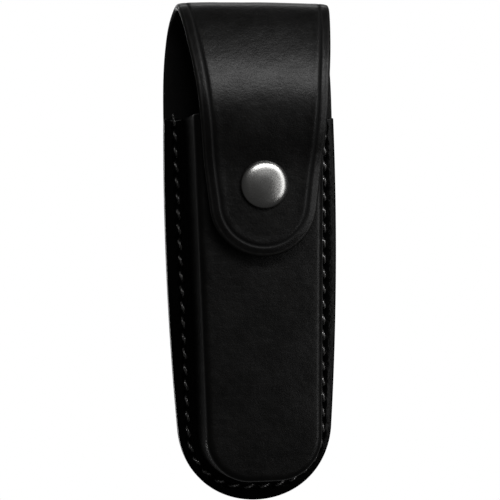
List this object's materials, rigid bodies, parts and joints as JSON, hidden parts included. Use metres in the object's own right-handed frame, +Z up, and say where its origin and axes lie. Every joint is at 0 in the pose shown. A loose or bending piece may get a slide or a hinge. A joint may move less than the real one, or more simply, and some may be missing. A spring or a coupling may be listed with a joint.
{
  "type": "belt sheath for a folding multi tool",
  "caption": "Slim upright leather belt sheath: moulded pocket with a rounded toe, over-the-top tapering flap with a round snap, sewn edge and a belt loop behind.",
  "frame": {"origin": "on the rear face of the back panel, in the middle of the belt's way through the loop", "axes": "+Z up as worn, towards the flap's crest; +Y backwards, towards the wearer; X across the sheath; the flap and snap face -Y"},
  "size_m": [0.0554, 0.0396, 0.1583],
  "materials": {
    "leather": "black, softly burnished grain side",
    "thread": "waxed black twist",
    "nickel": "satin nickel plate",
    "spring_steel": "bright drawn wire"
  },
  "bodies": {
    "sheath": {"back_panel": "leather", "front_panel": "leather", "belt_loop": "leather", "seam_thread_front": "thread", "seam_thread_rear": "thread", "loop_upper_thread_outer": "thread", "loop_upper_thread_inner": "thread", "loop_lower_thread_outer": "thread", "loop_lower_thread_inner": "thread", "snap_stud": "nickel", "snap_eyelet": "nickel"},
    "rear_fold": {"flap_rear": "leather"},
    "top_fold": {"flap_top": "leather"},
    "flap": {"flap_front": "leather", "snap_cap": "nickel", "snap_cap_post": "nickel", "snap_socket": "nickel", "snap_socket_plate": "nickel", "snap_spring_ring": "spring_steel"}
  },
  "joints": [
    {"name": "fold_rear", "type": "hinge", "parent": "sheath", "child": "rear_fold", "pos_m": [0, -0.00161, 0.06531], "axis": [-1, 0, 0], "range_deg": [0, 55]},
    {"name": "fold_top", "type": "hinge", "parent": "rear_fold", "child": "top_fold", "pos_m": [0, -0.01199, 0.0713], "axis": [-1, 0, 0], "range_deg": [0, 55]},
    {"name": "fold_front", "type": "hinge", "parent": "top_fold", "child": "flap", "pos_m": [0, -0.02411, 0.0643], "axis": [-1, 0, 0], "range_deg": [0, 55]}
  ],
  "couplings": [
    {"joint": "fold_top", "follows": "fold_rear", "ratio": 1},
    {"joint": "fold_front", "follows": "fold_rear", "ratio": 1}
  ]
}
